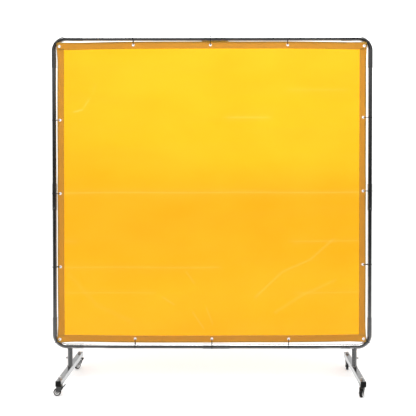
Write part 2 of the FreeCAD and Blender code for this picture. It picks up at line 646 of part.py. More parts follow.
def curtain_outline(low_y, high_y):
    """The sheet's outline between two planes, with its corners rounded clear of the elbows."""
    blank = box((CURTAIN_LEFT_X, low_y, CURTAIN_BOTTOM_Z), (CURTAIN_RIGHT_X, high_y, CURTAIN_TOP_Z))
    radius = BEND_RADIUS - FITTING_R - CORNER_CLEARANCE
    for sx, sz in CORNERS.values():
        arc = arc_centre(sx, sz)
        far = arc + X_AXIS * (sx * BEND_RADIUS) + Z_AXIS * (sz * BEND_RADIUS)
        low = (min(arc.x, far.x), -PAST, min(arc.z, far.z))
        high = (max(arc.x, far.x), PAST, max(arc.z, far.z))
        scrap = box(low, high).cut(rod(radius, arc - Y_AXIS * PAST, arc + Y_AXIS * PAST))
        blank = blank.cut(scrap)
    for centre, _, _ in grommet_places():
        blank = blank.cut(rod(GROMMET_BARREL_RADIUS, centre - Y_AXIS * PAST, centre + Y_AXIS * PAST))
    return blank


def grommet():
    """A two-sided eyelet with domed flanges, its hole along Y."""
    inner, barrel, outer = GROMMET_HOLE_RADIUS, GROMMET_BARREL_RADIUS, GROMMET_FLANGE_RADIUS
    crest = HEM_HALF + GROMMET_FLANGE
    half_outline = [(inner, crest - GROMMET_LIP), (inner + GROMMET_LIP, crest),
                    (outer - GROMMET_BEVEL_WIDTH, crest), (outer, crest - GROMMET_BEVEL_HEIGHT),
                    (outer, HEM_HALF), (barrel, HEM_HALF)]
    mirrored = [(r, -y) for r, y in reversed(half_outline)]
    return revolve_profile([vector(r, y, 0) for r, y in half_outline + mirrored], Y_AXIS)


def loop_face(tube_radius, eye_radius, distance):
    """The stretched outline round two circles, the tube at the origin and the eye at (distance, 0)."""
    alpha = math.acos((tube_radius - eye_radius) / distance)
    cos_a, sin_a = math.cos(alpha), math.sin(alpha)
    tube_up = vector(tube_radius * cos_a, tube_radius * sin_a, 0)
    tube_down = vector(tube_radius * cos_a, -tube_radius * sin_a, 0)
    eye_up = vector(distance + eye_radius * cos_a, eye_radius * sin_a, 0)
    eye_down = vector(distance + eye_radius * cos_a, -eye_radius * sin_a, 0)
    edges = [Part.LineSegment(tube_up, eye_up),
             Part.Arc(eye_up, vector(distance + eye_radius, 0, 0), eye_down),
             Part.LineSegment(eye_down, tube_down), Part.Arc(tube_down, vector(-tube_radius, 0, 0), tube_up)]
    return Part.Face(Part.Wire([e.toShape() for e in edges]))


def cable_tie(centre, outward, fitting_radius):
    """A tie drawn round the tube and through the grommet, with its ratchet head behind the tube."""
    distance = tube_distance(centre, outward)
    eye = distance - TIE_EYE_RADIUS - TIE_THICKNESS / 2
    inner = fitting_radius + TIE_CLEARANCE
    outer_face = loop_face(inner + TIE_THICKNESS, TIE_EYE_RADIUS + TIE_THICKNESS, eye)
    band = outer_face.cut(loop_face(inner, TIE_EYE_RADIUS, eye)).extrude(vector(0, 0, TIE_WIDTH))
    band.translate(vector(0, 0, -TIE_WIDTH / 2))
    half_head = TIE_HEAD_LENGTH / 2
    head_base = inner + TIE_THICKNESS - TIE_HEAD_SINK
    head = box((-half_head, head_base, -TIE_HEAD_WIDTH / 2),
               (half_head, head_base + TIE_HEAD_HEIGHT, TIE_HEAD_WIDTH / 2))
    far_edges = [e for e in head.Edges if all(v.Y > head_base + 1 for v in e.Vertexes)]
    head = head.makeChamfer(TIE_HEAD_CHAMFER, far_edges)
    tail_y = inner + TIE_TAIL_RISE
    tail_half = TIE_WIDTH / 2 - TIE_TAIL_TAPER
    tail = box((-half_head - TIE_TAIL_LENGTH, tail_y, -tail_half),
               (-half_head + 1, tail_y + TIE_THICKNESS, tail_half))
    tie = band.fuse([head, tail]).removeSplitter()
    inward = -outward
    axis = inward.cross(Y_AXIS)
    tube_centre = centre + outward * distance
    matrix = FreeCAD.Matrix(inward.x, Y_AXIS.x, axis.x, tube_centre.x,
                            inward.y, Y_AXIS.y, axis.y, tube_centre.y,
                            inward.z, Y_AXIS.z, axis.z, tube_centre.z,
                            0, 0, 0, 1)
    tie.Placement = FreeCAD.Placement(matrix)
    return tie


def make_curtain():
    half = CURTAIN_THICKNESS / 2
    save("curtain_sheet", curtain_outline(-half, half))
    window = box((CURTAIN_LEFT_X + HEM_WIDTH, -PAST, CURTAIN_BOTTOM_Z + HEM_WIDTH),
                 (CURTAIN_RIGHT_X - HEM_WIDTH, PAST, CURTAIN_TOP_Z - HEM_WIDTH))
    front_band = curtain_outline(-HEM_HALF, -half).cut(window)
    back_band = curtain_outline(half, HEM_HALF).cut(window)
    save("curtain_hem", front_band, back_band)
    eyelets = []
    ties = []
    for centre, outward, fitting_radius in grommet_places():
        eyelet = grommet()
        eyelet.translate(centre)
        eyelets.append(eyelet)
        ties.append(cable_tie(centre, outward, fitting_radius))
    save("grommets", *eyelets)
    save("cable_ties", *ties)


os.makedirs("parts", exist_ok=True)
make_frame()
make_stubs()
make_feet()
make_casters()
make_curtain()
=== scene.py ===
"""Looks of a free-standing welding curtain screen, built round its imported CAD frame.

Metres. +Z is up, +X runs to the right along the screen, and -Y is the front.
"""

import math

import bmesh
import bpy
import numpy as np
from mathutils import Matrix, Vector
from mathutils.geometry import delaunay_2d_cdt
from mathutils.kdtree import KDTree


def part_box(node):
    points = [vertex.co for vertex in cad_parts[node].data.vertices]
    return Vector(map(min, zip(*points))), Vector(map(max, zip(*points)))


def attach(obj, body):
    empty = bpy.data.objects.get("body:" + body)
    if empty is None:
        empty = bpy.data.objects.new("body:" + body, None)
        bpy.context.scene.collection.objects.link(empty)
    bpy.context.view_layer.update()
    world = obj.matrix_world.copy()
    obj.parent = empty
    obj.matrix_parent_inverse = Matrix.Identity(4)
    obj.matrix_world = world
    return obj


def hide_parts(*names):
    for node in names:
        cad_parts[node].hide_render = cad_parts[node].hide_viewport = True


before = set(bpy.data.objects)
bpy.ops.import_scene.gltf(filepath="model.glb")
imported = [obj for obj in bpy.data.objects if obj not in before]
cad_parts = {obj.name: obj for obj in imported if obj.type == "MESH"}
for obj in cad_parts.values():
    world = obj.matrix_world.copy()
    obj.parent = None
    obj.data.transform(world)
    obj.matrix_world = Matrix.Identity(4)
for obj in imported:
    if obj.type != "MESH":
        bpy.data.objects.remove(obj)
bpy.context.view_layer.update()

MM = 0.001
MOVING_WITH = "frame"
# the mesh attribute of whitened folds and painted sheen
HAZE_AND_SHEEN = "haze_and_sheen"

# ---- sizes --------------------------------------------------------------------------------

BEND_RADIUS = 70 * MM

SHEET_THICKNESS = 0.5 * MM
SHEET_GRID = 12 * MM
WRINKLE_STEP = 8 * MM
GROMMET_SURROUND = 13 * MM
RING_STEPS = 20
CORNER_STEP = 5 * MM
CORNER_REACH = 110 * MM
LONGEST_SIDE = 30 * MM
MERGE_DISTANCE = 1e-7
# the nearest that each set of the sheet's points may lie to the sets before it
RING_GAP = 2 * MM
FOLD_GAP = 3 * MM
CORNER_GAP = 4 * MM
GRID_GAP = 7 * MM

HEM_WIDTHS = {"left": 37 * MM, "right": 37 * MM, "bottom": 39 * MM, "top": 40 * MM}
EDGE_ZONE = 40 * MM
HEM_STEP = 8 * MM
HEM_RETURN = 2 * MM
HEM_FINE_RUNS = [3 * MM, 8 * MM, 14 * MM, 20 * MM, 25 * MM]
LAYER = 0.8 * MM
HEM_LAP = 5 * MM
STEP_UP_START = 6 * MM
STEP_UP_LENGTH = 8 * MM
STEP_UP_FROM_FOLD = 3 * MM
SEAM_FROM_INNER_EDGE = 5 * MM
SEAM_WIDTH = 1.6 * MM
SEAM_DEPTH = 0.08 * MM

# how the ties draw the sheet: the shifts (across, up) of its corners, then of its edges' middles
CORNER_PULL = {
    (-1, 1): (0.5 * MM, -5.5 * MM),
    (1, 1): (2 * MM, -3.5 * MM),
    (-1, -1): (-1 * MM, 0 * MM),
    (1, -1): (2.5 * MM, 5.2 * MM),
}
TOP_BOW = 9.3 * MM
BOTTOM_BOW = -7.3 * MM
LEFT_BOW = -2 * MM
SCALLOP = 0.5 * MM
SCALLOP_FADE = 90 * MM

# the hanging sheet's waves: their depths, and their rates in radians a metre
BILLOW = 7 * MM
SLOW_WAVE = 2.2 * MM
SLOW_WAVE_RATES = (7.4, 2.1, 5.2, 1.3)
EDGE_WAVE = 2.4 * MM
EDGE_WAVE_RATE = 6.5
EDGE_WAVE_START = 0.8
EDGE_WAVE_FADE = 160 * MM
# the tension ripples round a grommet: how many, and how far they turn for a metre across
PUCKER = 0.7 * MM
PUCKER_FOLDS = 5
PUCKER_TURN = 7
PUCKER_REACH = 55 * MM
# where the corners start to bend over the elbows and where they lie on them, from the bend's centre
CURL_START = -10 * MM
CURL_END = 62 * MM
CURL_CLEARANCE = 1.1 * MM

# fold lines left by the packing: height up the curtain, from and to across it, ridge height
CREASES = [
    (1.084, -0.90, 0.90, 0.50 * MM),
    (1.509, 0.05, 0.36, 0.40 * MM),
    (1.669, 0.40, 0.80, 0.22 * MM),
    (0.806, 0.42, 0.90, 0.34 * MM),
    (0.806, -0.90, -0.74, 0.30 * MM),
    (0.657, -0.90, 0.08, 0.34 * MM),
    (0.511, -0.90, -0.30, 0.24 * MM),
    (0.511, 0.45, 0.90, 0.24 * MM),
]
CREASE_WIDTH = 3.2 * MM
CREASE_SOFT_END = 60 * MM
CREASE_WANDER = 1.5 * MM
CREASE_WANDER_RATE = 9
# the shallow trough that a fold line's ridge stands in, in heights and widths of the ridge
TROUGH_DEPTH = 0.5
TROUGH_WIDTH = 3
# how much a fold line is whitened for each metre of its ridge's height: a line where the bent vinyl
# whitens, with painted sheen, and a wider veil of painted sheen
CREASE_HAZE_AND_SHEEN = 480
HAZE_AND_SHEEN_LINE = 0.7
PAINTED_SHEEN_VEIL = 0.3
# how wide the veil and a wrinkle's paler band (scuffing and painted sheen) are, in widths of their ridges
VEIL_WIDTH = 4
WRINKLE_HAZE_AND_SHEEN_WIDTH = 0.6
# soft wrinkles: the line they follow, as (across, up) points, with ridge height, width, and how much paler
# they are (scuffing where rubbed, and painted sheen)
WRINKLES = [
    ([(0.25, 0.49), (0.40, 0.63), (0.56, 0.70), (0.69, 0.815)], 1.1 * MM, 9 * MM, 0.16),
    ([(0.36, 0.40), (0.52, 0.50), (0.70, 0.58)], 0.8 * MM, 12 * MM, 0.10),
    ([(-0.146, 0.63), (-0.105, 0.57)], 0.8 * MM, 5 * MM, 0.20),
    ([(-0.28, 0.485), (-0.225, 0.45)], 0.8 * MM, 5 * MM, 0.20),
    ([(-0.11, 0.40), (-0.05, 0.31)], 0.9 * MM, 6 * MM, 0.16),
    ([(-0.03, 0.42), (0.00, 0.34)], 0.7 * MM, 6 * MM, 0.12),
    ([(-0.788, 1.546), (-0.741, 1.558)], 0.8 * MM, 7 * MM, 0.30),
    ([(-0.726, 1.578), (-0.705, 1.612)], 0.8 * MM, 6 * MM, 0.24),
    ([(-0.678, 1.657), (-0.666, 1.694)], 0.6 * MM, 6 * MM, 0.12),
    ([(-0.82, 0.62), (-0.66, 0.44), (-0.46, 0.35)], 0.7 * MM, 18 * MM, 0.05),
]

GROMMET_HOLE = 4.0 * MM
GROMMET_BARREL = 4.6 * MM
GROMMET_FLANGE = 8.0 * MM
GROMMET_ROLL = 1.0 * MM
GROMMET_WASHER = 0.6 * MM
WASHER_RIM = 0.4 * MM
WASHER_CHAMFER = 0.6 * MM
WASHER_SLOPE_END = 1.6 * MM
WASHER_COLLAR = 0.5 * MM

TIE_WIDTH = 3.6 * MM
TIE_THICKNESS = 1.2 * MM
TIE_EYE = 1.6 * MM
TIE_CLEARANCE = 0.15 * MM
TIE_CORNER_SLACK = 1.5 * MM
TIE_HEAD = (8.0 * MM, 5.0 * MM, 7.4 * MM)
HEAD_RECESS_RIM = 1.3 * MM
HEAD_RECESS_DEPTH = 1.2 * MM
HEAD_BEVEL = 0.5 * MM
# the rounding of a strap's edges and how deep the head sits in it, as shares of its thickness
STRAP_ROUNDING = 0.3
HEAD_SINK = 0.3
TIE_TAIL = 7.0 * MM
TIE_TAIL_LIFT = 0.9 * MM

BEAD_RADIUS = 1.5 * MM
BEAD_RIPPLES = 34
BEAD_RIPPLE_HEIGHT = 0.16
BEAD_SWELLS = 5
BEAD_SWELL_HEIGHT = 0.08
# how far a bead's middle stands off the tube, as a share of its radius
BASE_STANDOFF = 0.4
SADDLE_STANDOFF = 0.35
BASE_RISE = 0.4 * MM
SADDLE_DROP = 0.3 * MM
# the share of the elbow's radius past which a bead no longer follows it round
SADDLE_LIMIT = 0.96

# ---- facts read from the frame ------------------------------------------------------------

sheet_low, sheet_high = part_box("curtain_sheet")
sheet_width = sheet_high.x - sheet_low.x
sheet_height = sheet_high.z - sheet_low.z


def tube_radius(node):
    """A straight or bent tube's radius: half of its size along Y."""
    low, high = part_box(node)
    return (high.y - low.y) / 2


FITTING_R = tube_radius("elbow_top_left")
TUBE_R = tube_radius("top_rail_left")
SIDE_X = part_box("elbow_top_right")[1].x - FITTING_R
TOP_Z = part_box("elbow_top_left")[1].z - FITTING_R
BOTTOM_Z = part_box("elbow_bottom_left")[0].z + FITTING_R
FITTINGS = [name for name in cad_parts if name.startswith(("elbow_top", "elbow_bottom", "sleeve_"))]


def solid_centres(node, reach):
    """The centre of each separate solid of a node. Every solid is smaller than reach."""
    groups = []
    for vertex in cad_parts[node].data.vertices:
        near = next((g for g in groups if (g[0] - vertex.co).length < reach), None)
        if near is None:
            groups.append([vertex.co.copy()])
        else:
            near.append(vertex.co.copy())
    corners = [(np.array(g).min(0), np.array(g).max(0)) for g in groups]
    return [(low + high) / 2 for low, high in corners]


grommet_centres = solid_centres("grommets", 3 * GROMMET_FLANGE)


# ---- the shape that the curtain hangs in --------------------------------------------------

def share_across(x):
    return (x - sheet_low.x) / sheet_width


def share_up(z):
    return (z - sheet_low.z) / sheet_height


def smooth(t):
    t = np.clip(t, 0, 1)
    return t * t * (3 - 2 * t)


def arch(share):
    """1 along the middle of an edge, falling to 0 at its ends."""
    return 1 - np.abs(2 * share - 1) ** 3


def between(place, stops):
    """0 at each stop, rising to 1 halfway between two of them."""
    stops = np.sort(np.array(stops))
    after = np.clip(np.searchsorted(stops, place), 1, len(stops) - 1)
    start, end = stops[after - 1], stops[after]
    return np.sin(np.pi * np.clip((place - start) / (end - start), 0, 1)) ** 2


def edge_stops(axis, edge):
    """Where the ties hold one edge of the sheet, along the other axis."""
    other = 2 - axis
    return [centre[other] for centre in grommet_centres if abs(centre[axis] - edge) < EDGE_ZONE]


LEFT_STOPS = edge_stops(0, sheet_low.x)
RIGHT_STOPS = edge_stops(0, sheet_high.x)
BOTTOM_STOPS = edge_stops(2, sheet_low.z)
TOP_STOPS = edge_stops(2, sheet_high.z)


def pull(x, z):
    """How far the ties draw flat points of the sheet, across and up."""
    u, v = share_across(x), share_up(z)
    across = LEFT_BOW * arch(v) * (1 - u) ** 2
    up = TOP_BOW * arch(u) * v ** 2 + BOTTOM_BOW * arch(u) * (1 - v) ** 2
    for (right, top), (corner_x, corner_z) in CORNER_PULL.items():
        near = (u if right > 0 else 1 - u) * (v if top > 0 else 1 - v)
        across = across + corner_x * near
        up = up + corner_z * near
    across = across + SCALLOP * between(z, LEFT_STOPS) * np.exp(-np.abs(x - sheet_low.x) / SCALLOP_FADE)
    across = across - SCALLOP * between(z, RIGHT_STOPS) * np.exp(-np.abs(sheet_high.x - x) / SCALLOP_FADE)
    up = up + SCALLOP * between(x, BOTTOM_STOPS) * np.exp(-np.abs(z - sheet_low.z) / SCALLOP_FADE)
    up = up - SCALLOP * between(x, TOP_STOPS) * np.exp(-np.abs(sheet_high.z - z) / SCALLOP_FADE)
    return across, up


def is_corner(flat):
    """True for a grommet that holds two edges at once."""
    beside = min(flat[0] - sheet_low.x, sheet_high.x - flat[0]) < EDGE_ZONE
    above = min(flat[1] - sheet_low.z, sheet_high.z - flat[1]) < EDGE_ZONE
    return beside and above


def flat_place(centre):
    """The flat (x, z) of the sheet's point that a tie holds. Corner grommets move with the sheet."""
    flat = np.array([centre[0], centre[2]])
    if is_corner(flat):
        return flat
    for _ in range(4):
        flat = np.array([centre[0], centre[2]]) - np.array(pull(*flat))
    return flat


grommet_flats = [flat_place(centre) for centre in grommet_centres]


def line_distance(x, z, points):
    """Distance from flat points to a line of straight runs."""
    nearest = np.full(np.shape(x), np.inf)
    for (ax, az), (bx, bz) in zip(points, points[1:]):
        run_x, run_z = bx - ax, bz - az
        t = ((x - ax) * run_x + (z - az) * run_z) / (run_x ** 2 + run_z ** 2)
        t = np.clip(t, 0, 1)
        nearest = np.minimum(nearest, np.hypot(x - ax - t * run_x, z - az - t * run_z))
    return nearest


def along_crease(x, z, crease):
    """(how fully a crease shows, the distance above it in crease widths)."""
    height, start, end, _ = crease
    share = smooth((x - start) / CREASE_SOFT_END) * smooth((end - x) / CREASE_SOFT_END)
    return share, (z - height - CREASE_WANDER * np.sin(x * CREASE_WANDER_RATE)) / CREASE_WIDTH


def ridges(x, z):
    """The fold lines and wrinkles, towards the front."""
    total = np.zeros(np.shape(x))
    for crease in CREASES:
        share, off = along_crease(x, z, crease)
        trough = TROUGH_DEPTH * np.exp(-(off / TROUGH_WIDTH) ** 2)
        total = total + crease[3] * share * (np.exp(-off ** 2) - trough)
    for points, ridge, width, _ in WRINKLES:
        total = total + ridge * np.exp(-(line_distance(x, z, points) / width) ** 2)
    return total


def haze_and_sheen(x, z):
    """How much the vinyl is whitened where it was bent or rubbed, plus painted sheen: the veil round each
    fold line and part of the wrinkles' paler bands.
    """
    total = np.zeros(np.shape(x))
    for crease in CREASES:
        share, off = along_crease(x, z, crease)
        # the veil is painted sheen: a paler band round each fold that stands in for light reflected off the
        # vinyl
        spread = HAZE_AND_SHEEN_LINE * np.exp(-off ** 2) + PAINTED_SHEEN_VEIL * np.exp(-np.abs(off) / VEIL_WIDTH)
        total = total + CREASE_HAZE_AND_SHEEN * crease[3] * share * spread
    for points, _, width, whitening_and_sheen in WRINKLES:
        # a wrinkle's paler band is partly scuffing where rubbed and partly painted sheen
        off = line_distance(x, z, points) / (WRINKLE_HAZE_AND_SHEEN_WIDTH * width)
        total = total + whitening_and_sheen * np.exp(-off ** 2)
    return np.clip(total, 0, 1)


def puckers(x, z):
    """Short tension ripples that fan out from each grommet."""
    total = np.zeros(np.shape(x))
    for gx, gz in grommet_flats:
        distance = np.hypot(x - gx, z - gz)
        angle = np.arctan2(z - gz, x - gx)
        start = smooth((distance - GROMMET_FLANGE) / (2 * GROMMET_FLANGE))
        folds = np.cos(PUCKER_FOLDS * angle + gx * PUCKER_TURN)
        total = total + PUCKER * start * folds * np.exp(-distance / PUCKER_REACH)
    return total


def curl(x, z):
    """From 0 to 1, how far the corners are bent forward over the elbows."""
    total = np.zeros(np.shape(x))
    for right, top in CORNER_PULL:
        arc_x = right * (SIDE_X - BEND_RADIUS)
        arc_z = TOP_Z - BEND_RADIUS if top > 0 else BOTTOM_Z + BEND_RADIUS
        diagonal = (right * (x - arc_x) + top * (z - arc_z)) / math.sqrt(2)
        total = total + smooth((diagonal - CURL_START) / (CURL_END - CURL_START))
    return np.clip(total, 0, 1)


def lift(x, z):
    """How far the sheet stands behind the frame's middle plane. Less than 0 is in front."""
    u, v = share_across(x), share_up(z)
    depth = BILLOW * np.sin(np.pi * np.clip(u, 0, 1)) * np.sin(np.pi * np.clip(v, 0, 1))
    inner = arch(np.clip(u, 0, 1)) * arch(np.clip(v, 0, 1))
    a, b, c, d = SLOW_WAVE_RATES
    depth = depth + SLOW_WAVE * inner * np.sin(a * x + b * z) * np.cos(c * z - d * x)
    for place, stops, away in (
        (z, LEFT_STOPS, x - sheet_low.x),
        (z, RIGHT_STOPS, sheet_high.x - x),
        (x, BOTTOM_STOPS, z - sheet_low.z),
        (x, TOP_STOPS, sheet_high.z - z),
    ):
        wave = EDGE_WAVE * np.sin(place * EDGE_WAVE_RATE + EDGE_WAVE_START)
        depth = depth + wave * between(place, stops) * np.exp(-np.abs(away) / EDGE_WAVE_FADE)
    inside = np.minimum(x - sheet_low.x, sheet_high.x - x)
    inside = np.minimum(inside, np.minimum(z - sheet_low.z, sheet_high.z - z))
    depth = depth + (puckers(x, z) - ridges(x, z)) * smooth((inside - EDGE_ZONE) / EDGE_ZONE)
    bent = curl(x, z)
    return depth * (1 - bent) - (FITTING_R + CURL_CLEARANCE) * bent


def hang(x, z, depth=0.0):
    """Where flat points of the curtain are when it hangs. depth is a layer's place behind the sheet."""
    x, z = np.asarray(x, float), np.asarray(z, float)
    across, up = pull(x, z)
    return np.stack([x + across, lift(x, z) + depth, z + up], axis=-1)


def seat_at(flat):
    """The place and axes of the hanging sheet at a flat point: its Y axis is the sheet's back."""
    step = 2 * MM
    x, z = flat
    place = Vector(hang(x, z))
    across = (Vector(hang(x + step, z)) - Vector(hang(x - step, z))).normalized()
    up = (Vector(hang(x, z + step)) - Vector(hang(x, z - step))).normalized()
    back = up.cross(across).normalized()
    up = across.cross(back)
    seat = Matrix((across, back, up)).transposed().to_4x4()
    seat.translation = place
    return seat


# ---- mesh helpers -------------------------------------------------------------------------

def new_piece(name, points, faces, finish):
    """A smooth-shaded piece that rides on the screen's frame."""
    mesh = bpy.data.meshes.new(name)
    mesh.from_pydata([tuple(p) for p in points], [], [tuple(f) for f in faces])
    mesh.validate()
    mesh.polygons.foreach_set("use_smooth", [True] * len(mesh.polygons))
    mesh.materials.append(finish)
    piece = bpy.data.objects.new(name, mesh)
    bpy.context.scene.collection.objects.link(piece)
    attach(piece, MOVING_WITH)
    return piece


def sharpen(piece, angle):
    """Keeps edges sharper than an angle crisp in the smooth shading."""
    piece.data.set_sharp_from_angle(angle=math.radians(angle))


def join_parts(parts):
    """Several (points, faces) lists as one."""
    points, faces = [], []
    for part_points, part_faces in parts:
        first = len(points)
        points.extend(part_points)
        faces.extend([[first + i for i in face] for face in part_faces])
    return points, faces


def loft(rings, closed):
    """Faces between rings of points. Each ring is closed; closed joins the last ring to the first."""
    count, size = len(rings), len(rings[0])
    points = [p for ring in rings for p in ring]
    faces = []
    for i in range(count if closed else count - 1):
        here, there = i * size, (i + 1) % count * size
        for j in range(size):
            k = (j + 1) % size
            faces.append((here + j, here + k, there + k, there + j))
    if not closed:
        faces.append(tuple(range(size)))
        faces.append(tuple(range((count - 1) * size, count * size))[::-1])
    return points, faces


def turned(seat, profile, segments):
    """A closed (radius, y) outline turned about the seat's Y axis."""
    rings = []
    for step in range(segments):
        angle = 2 * math.pi * step / segments
        rings.append([seat @ Vector((r * math.cos(angle), y, r * math.sin(angle))) for r, y in profile])
    return loft(rings, closed=True)


def arc(centre, radius, start, end, steps):
    """Points on an arc, with its angles in degrees."""
    angles = [math.radians(start + (end - start) * k / steps) for k in range(steps + 1)]
    return [(centre[0] + radius * math.cos(a), centre[1] + radius * math.sin(a)) for a in angles]


def without_near(kept, points, gap):
    """The points that have none of the kept ones within a gap."""
    tree = KDTree(len(kept))
    for index, (a, b) in enumerate(kept):
        tree.insert((a, b, 0), index)
    tree.balance()
    return [p for p in points if tree.find((p[0], p[1], 0))[2] > gap]


def triangles_between(points, holes, hole_radius):
    """Triangles over flat points, left out inside the round holes and along the straight edges."""
    vertices, _, faces, _, _, _ = delaunay_2d_cdt(
        [Vector(p) for p in points], [], [], 0, MERGE_DISTANCE)
    flat = np.array([tuple(v) for v in vertices])
    corners = flat[np.array(faces)]
    middles = corners.mean(axis=1)
    keep = np.linalg.norm(corners - np.roll(corners, 1, axis=1), axis=2).max(axis=1) < LONGEST_SIDE
    inside = hole_radius * 0.9
    for hole in holes:
        keep &= np.hypot(*(middles - hole).T) > inside
    return flat, [face for face, kept in zip(faces, keep) if kept]


def ring_points(centre, radius):
    """Points round a flat circle."""
    return [(centre[0] + x, centre[1] + z) for x, z in arc((0, 0), radius, 0, 360, RING_STEPS)[:-1]]


# ---- materials ----------------------------------------------------------------------------

# how a pattern is scaled along each axis: a small number makes long streaks
EVEN = (1, 1, 1)
ALONG_Y = (1, 0.04, 1)
ALONG_Z = (1, 1, 0.04)


def grey(value, warmth=0.0):
    """A linear grey, a little warmer or cooler."""
    return (value * (1 + warmth), value, value * (1 - warmth))


def ramp_node(nodes, stops):
    """A colour ramp. stops are (share, colour)."""
    ramp = nodes.new("ShaderNodeValToRGB")
    elements = ramp.color_ramp.elements
    while len(elements) < len(stops):
        elements.new(1.0)
    for element, (share, colour) in zip(elements, stops):
        element.position = share
        element.color = (*colour, 1)
    return ramp


class Finish:
    """A material with one Principled shader, and procedural patterns that drive it."""

    def __init__(self, name, sockets):
        self.material = bpy.data.materials.new(name)
        self.material.use_nodes = True
        self.tree = self.material.node_tree
        self.shader = next(n for n in self.tree.nodes if n.type == "BSDF_PRINCIPLED")
        for socket, value in sockets.items():
            self.shader.inputs[socket].default_value = value
        self.last_bump = None

    def node(self, kind, **settings):
        made = self.tree.nodes.new(kind)
        for key, value in settings.items():
            setattr(made, key, value)
        return made

    def noise(self, scale, detail, stretch=EVEN, distortion=0.0):
        """Noise in the part's own coordinates. scale is features a metre."""
        place = self.node("ShaderNodeTexCoord")
        mapping = self.node("ShaderNodeMapping")
        mapping.inputs["Scale"].default_value = stretch
        self.tree.links.new(place.outputs["Object"], mapping.inputs["Vector"])
        pattern = self.node("ShaderNodeTexNoise")
        pattern.inputs["Scale"].default_value = scale
        pattern.inputs["Detail"].default_value = detail
        pattern.inputs["Distortion"].default_value = distortion
        self.tree.links.new(mapping.outputs["Vector"], pattern.inputs["Vector"])
        return pattern.outputs["Fac"]

    def tint(self, pattern, stops):
        """Colours the surface by a pattern. stops are (share, colour)."""
        ramp = ramp_node(self.tree.nodes, stops)
        self.tree.links.new(pattern, ramp.inputs["Fac"])
        self.tree.links.new(ramp.outputs["Color"], self.shader.inputs["Base Color"])

    def whiten_with_sheen(self, pale):
        """Fades the colour towards a pale one by the mesh attribute of whitened folds and painted sheen."""
        amount = self.node("ShaderNodeAttribute", attribute_name=HAZE_AND_SHEEN)
        mix = self.node("ShaderNodeMix", data_type="RGBA")
        colour = self.shader.inputs["Base Color"]
        self.tree.links.new(amount.outputs["Fac"], mix.inputs[0])
        self.tree.links.new(colour.links[0].from_socket, mix.inputs[6])
        mix.inputs[7].default_value = (*pale, 1)
        self.tree.links.new(mix.outputs[2], colour)

    def shine(self, pattern, low, high):
        """Roughness from low to high over the middle of a pattern's range."""
        spread = self.node("ShaderNodeMapRange")
        spread.inputs["From Min"].default_value = 0.3
        spread.inputs["From Max"].default_value = 0.7
        spread.inputs["To Min"].default_value = low
        spread.inputs["To Max"].default_value = high
        self.tree.links.new(pattern, spread.inputs["Value"])
        self.tree.links.new(spread.outputs["Result"], self.shader.inputs["Roughness"])

    def relief(self, pattern, depth, strength):
        """Bumps of a depth in metres."""
        bump = self.node("ShaderNodeBump")
        bump.inputs["Distance"].default_value = depth
        bump.inputs["Strength"].default_value = strength
        self.tree.links.new(pattern, bump.inputs["Height"])
        if self.last_bump is not None:
            self.tree.links.new(self.last_bump, bump.inputs["Normal"])
        self.last_bump = bump.outputs["Normal"]
        self.tree.links.new(self.last_bump, self.shader.inputs["Normal"])


def steel_finish(name, light, dark, rough_low, rough_high, along, warmth=0.0, metallic=1.0):
    """Polished or brushed steel. along is how its fine brushing is stretched."""
    finish = Finish(name, {"Metallic": metallic})
    smudges = finish.noise(14, detail=5.0, distortion=0.4)
    finish.tint(smudges, [(0.32, grey(dark, warmth)), (0.62, grey(light, warmth))])
    finish.shine(finish.noise(9, detail=6.0), rough_low, rough_high)
    finish.relief(finish.noise(900, stretch=along, detail=2.0), 0.02 * MM, 0.35)
    finish.relief(finish.noise(38, detail=2.0), 0.06 * MM, 0.5)
    return finish.material


def vinyl_finish(name, light, deep, pale, transmission, rough_low, rough_high):
    """Clear tinted vinyl: a slight mottle, calender streaks, whitened folds with painted sheen, and a faint
    orange peel.
    """
    finish = Finish(name, {"Transmission Weight": transmission, "IOR": 1.52})
    finish.tint(finish.noise(2.4, stretch=(1, 1, 1.8), detail=3.0), [(0.35, deep), (0.65, light)])
    # paler towards folds and wrinkles: whitened vinyl and painted sheen
    finish.whiten_with_sheen(pale)
    finish.shine(finish.noise(3.5, stretch=(0.3, 1, 5), detail=4.0), rough_low, rough_high)
    finish.relief(finish.noise(11, stretch=(0.35, 1, 1.6), detail=2.0), 0.5 * MM, 0.35)
    finish.relief(finish.noise(420, detail=1.0), 0.004 * MM, 0.4)
    return finish.material


def plastic_finish(name, light, dark, rough_low, rough_high, grain):
    """Moulded plastic or rubber with a fine grain."""
    finish = Finish(name, {"IOR": 1.48})
    finish.tint(finish.noise(60, detail=4.0), [(0.3, dark), (0.7, light)])
    finish.shine(finish.noise(45, detail=3.0), rough_low, rough_high)
    finish.relief(finish.noise(grain, detail=2.0), 0.03 * MM, 0.6)
    return finish.material


# light, dark, lowest and highest roughness, brushing, and where needed warmth and metallic
STEELS = {
    "polished_steel_tube": (0.66, 0.58, 0.13, 0.22, EVEN),
    "polished_steel_fittings": (0.62, 0.53, 0.16, 0.26, EVEN),
    "brushed_steel_posts": (0.60, 0.50, 0.22, 0.32, ALONG_Z),
    "polished_steel_feet": (0.64, 0.55, 0.10, 0.20, ALONG_Y),
    "button_steel": (0.70, 0.60, 0.18, 0.28, EVEN),
    "spring_steel": (0.40, 0.32, 0.25, 0.40, EVEN),
    "zinc_hardware": (0.78, 0.66, 0.26, 0.40, EVEN, 0.015, 0.8),
    "caster_steel": (0.34, 0.24, 0.16, 0.28, EVEN),
    "grommet_metal": (0.88, 0.80, 0.30, 0.42, EVEN, 0.03, 0.25),
    "weld_steel": (0.42, 0.26, 0.30, 0.50, EVEN, 0.05),
}
